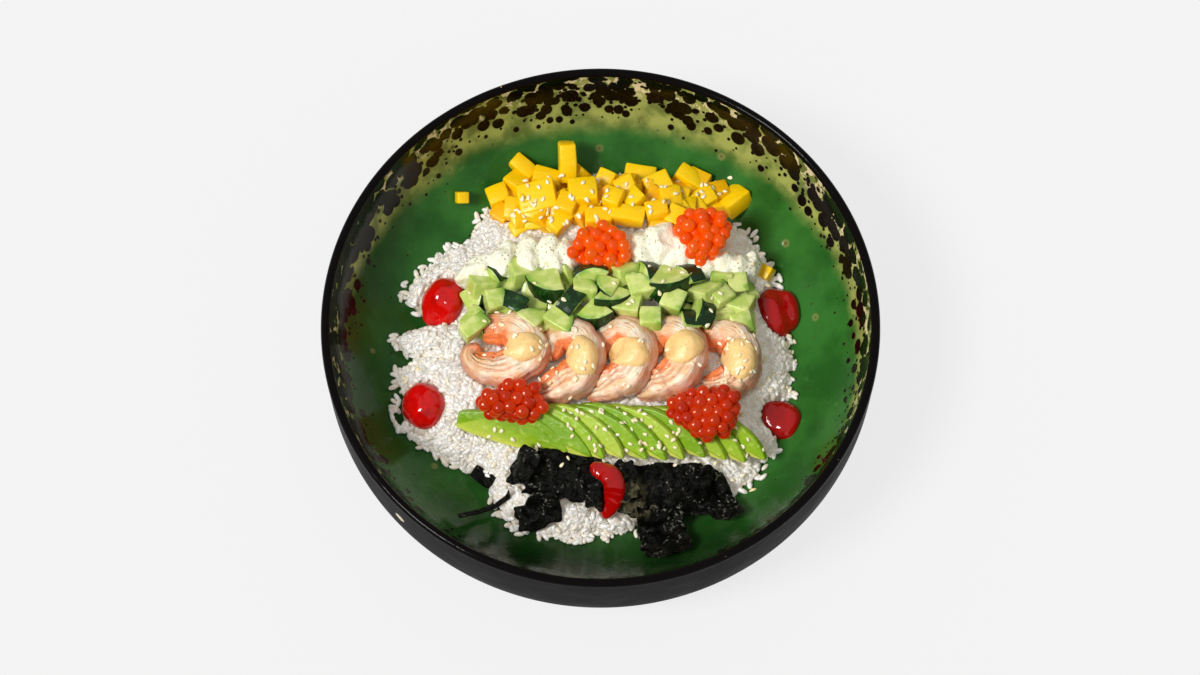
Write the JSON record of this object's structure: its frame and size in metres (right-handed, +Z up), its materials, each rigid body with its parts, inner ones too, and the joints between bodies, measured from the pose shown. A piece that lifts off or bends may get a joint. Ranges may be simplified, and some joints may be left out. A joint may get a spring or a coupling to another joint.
{
  "type": "shrimp rice bowl",
  "caption": "Wide glazed stoneware bowl of rice topped with bands of mango, cream cheese, cucumber, shrimp, avocado, roe and torn seaweed.",
  "frame": {"origin": "centre of the bowl's foot ring, on the surface that the bowl stands on", "axes": "+Z up along the bowl's axis; -Y towards the near side, where the seaweed lies; +X to the right"},
  "size_m": [0.24, 0.24, 0.064],
  "materials": {
    "stoneware": "gloss",
    "rice": "satin",
    "mango": "satin",
    "cream_cheese": "satin",
    "cucumber": "satin",
    "shrimp": "satin",
    "dressing": "gloss",
    "avocado": "satin",
    "seaweed": "satin",
    "chilli_sauce": "gloss",
    "roe": "gloss"
  },
  "bodies": {
    "root": {"avocado_01": "avocado", "avocado_02": "avocado", "avocado_03": "avocado", "avocado_04": "avocado", "avocado_05": "avocado", "avocado_06": "avocado", "avocado_07": "avocado", "avocado_08": "avocado", "avocado_09": "avocado", "avocado_10": "avocado", "avocado_11": "avocado", "avocado_12": "avocado", "bowl": "stoneware", "cream_left": "cream_cheese", "cream_right": "cream_cheese", "cucumber_heap": "cucumber", "dressing_1": "dressing", "dressing_2": "dressing", "dressing_3": "dressing", "dressing_4": "dressing", "dressing_5": "dressing", "mango_heap": "mango", "mango_stray_left": "mango", "mango_stray_right": "mango", "rice": "rice", "roe_far_middle": "roe", "roe_far_right": "roe", "roe_near_left": "roe", "roe_near_right": "roe", "sauce_crescent": "chilli_sauce", "sauce_far_left": "chilli_sauce", "sauce_far_right": "chilli_sauce", "sauce_near_left": "chilli_sauce", "sauce_near_right": "chilli_sauce", "seaweed_01": "seaweed", "seaweed_02": "seaweed", "seaweed_03": "seaweed", "seaweed_04": "seaweed", "seaweed_05": "seaweed", "seaweed_06": "seaweed", "seaweed_07": "seaweed", "seaweed_08": "seaweed", "seaweed_09": "seaweed", "shrimp_1": "shrimp", "shrimp_2": "shrimp", "shrimp_3": "shrimp", "shrimp_4": "shrimp", "shrimp_5": "shrimp"}
  },
  "joints": []
}
